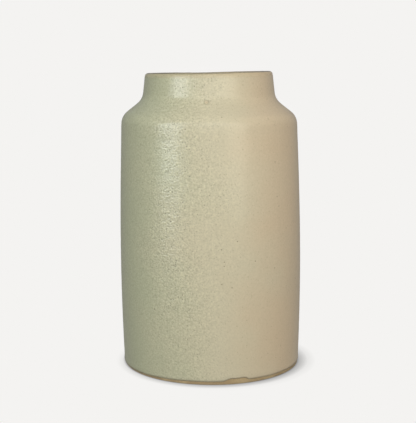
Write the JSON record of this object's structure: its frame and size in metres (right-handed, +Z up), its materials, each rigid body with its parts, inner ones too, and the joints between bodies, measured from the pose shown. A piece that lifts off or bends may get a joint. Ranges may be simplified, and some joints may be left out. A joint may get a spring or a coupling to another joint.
{
  "type": "stoneware vase",
  "caption": "Wheel-thrown stoneware vase with a barrelled wall, rounded shoulder and short neck, satin ash glaze outside and in, bare clay foot.",
  "frame": {"origin": "on the table plane, under the middle of the belly: the bottom centre of the bounding box", "axes": "+Z up, along the vase's height; -X is the side that the neck leans to, by about half a degree; -Y is the front, where the glaze missed a patch of the foot"},
  "size_m": [0.1554, 0.1552, 0.2499],
  "materials": {
    "bare_clay": "matte",
    "satin_glaze": "satin",
    "liner_glaze": "gloss"
  },
  "bodies": {
    "root": {"stoneware_body": "bare_clay", "outer_glaze": "satin_glaze", "liner_glaze": "liner_glaze"}
  },
  "joints": []
}
